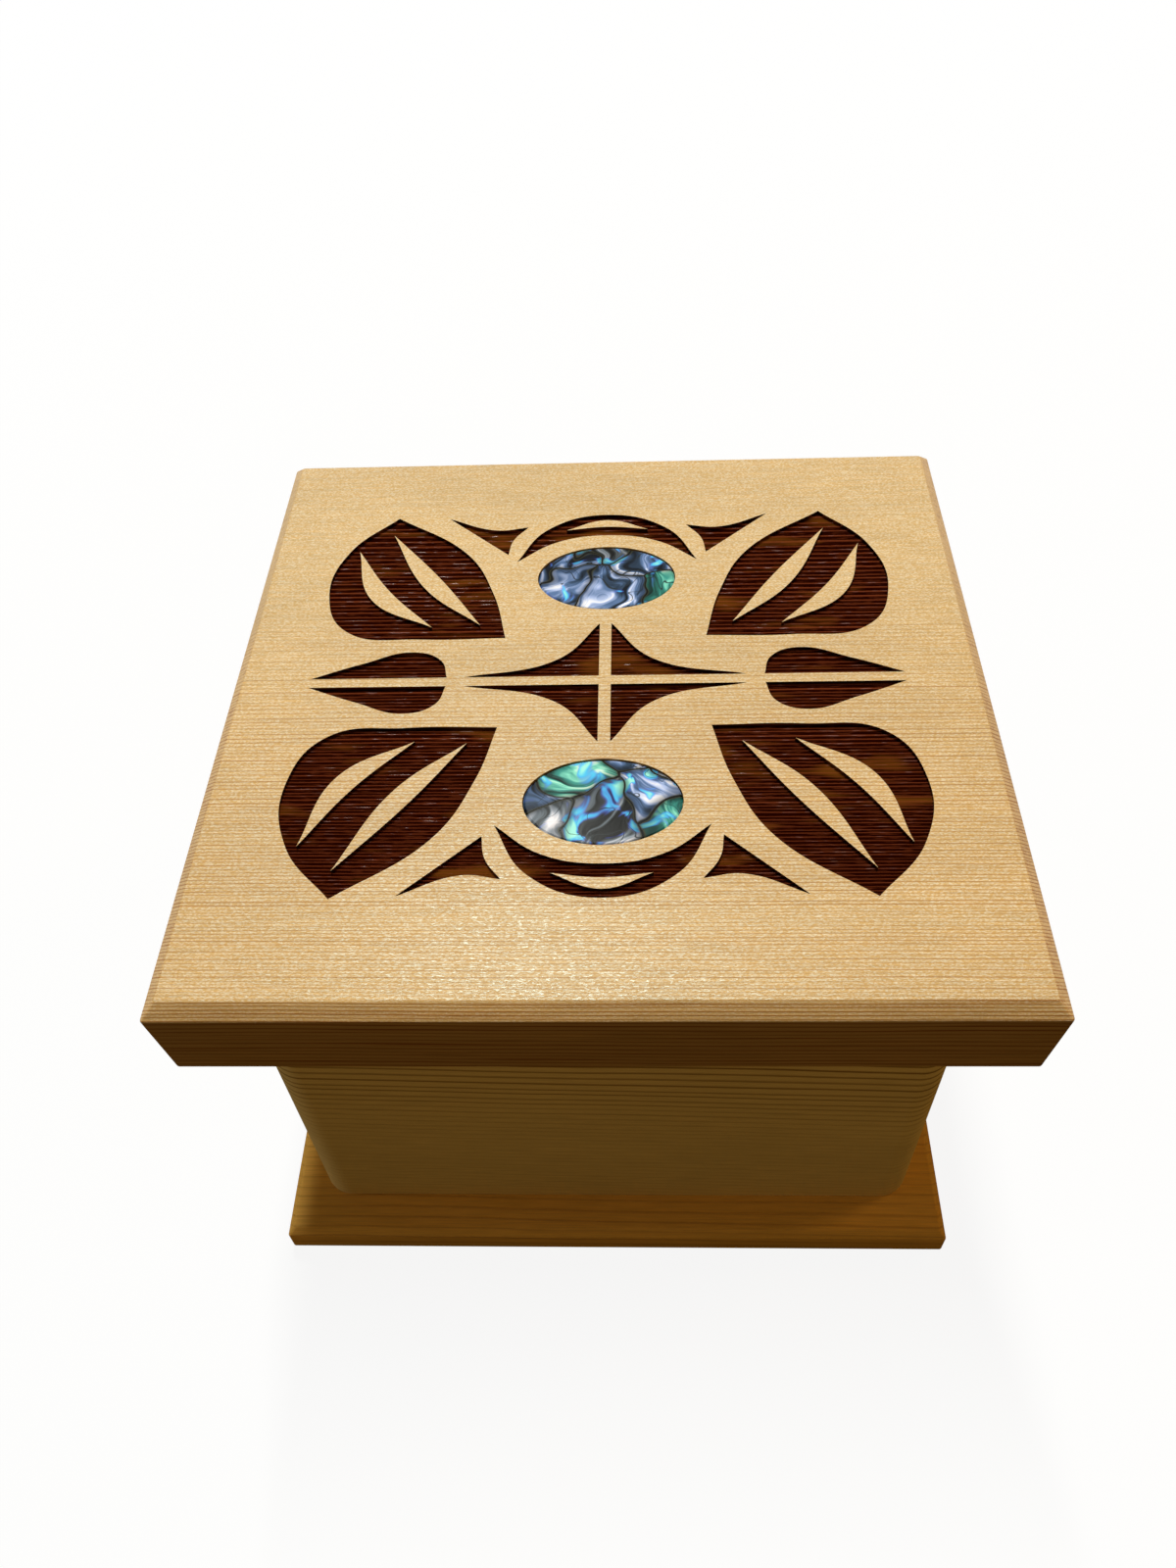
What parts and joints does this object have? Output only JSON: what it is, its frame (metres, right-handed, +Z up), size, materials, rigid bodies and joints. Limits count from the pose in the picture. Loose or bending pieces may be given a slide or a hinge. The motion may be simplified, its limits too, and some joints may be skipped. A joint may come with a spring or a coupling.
{
  "type": "bentwood box",
  "caption": "Square kerf-bent cedar box with a pegged lap corner, a rabbeted base board and a thick lift-off lid, bevelled, carved and inlaid with shell ovals.",
  "frame": {"origin": "middle of the base board's underside, on the surface that the box stands on", "axes": "+Z up through the lid, front towards -Y, +X to the right seen from the front"},
  "size_m": [0.15, 0.15, 0.1037],
  "materials": {
    "side_cedar": "satin lacquer on straight-grained yellow cedar",
    "base_cedar": "satin lacquer on red cedar",
    "lid_cedar": "satin lacquer on quarter-sawn red cedar, carved ground stained dark red-brown",
    "peg_wood": "split and rounded, trimmed flush",
    "abalone_shell": "polished shell"
  },
  "bodies": {
    "box": {"side_plank": "side_cedar", "corner_pegs": "peg_wood", "base_board": "base_cedar", "base_pegs": "peg_wood"},
    "lid": {"lid_board": "lid_cedar", "lid_plug": "lid_cedar", "abalone_back": "abalone_shell", "abalone_front": "abalone_shell"}
  },
  "joints": [
    {"name": "lid_lift", "type": "slide", "parent": "box", "child": "lid", "axis": [0, 0, 1], "range_m": [0, 0.12]}
  ]
}
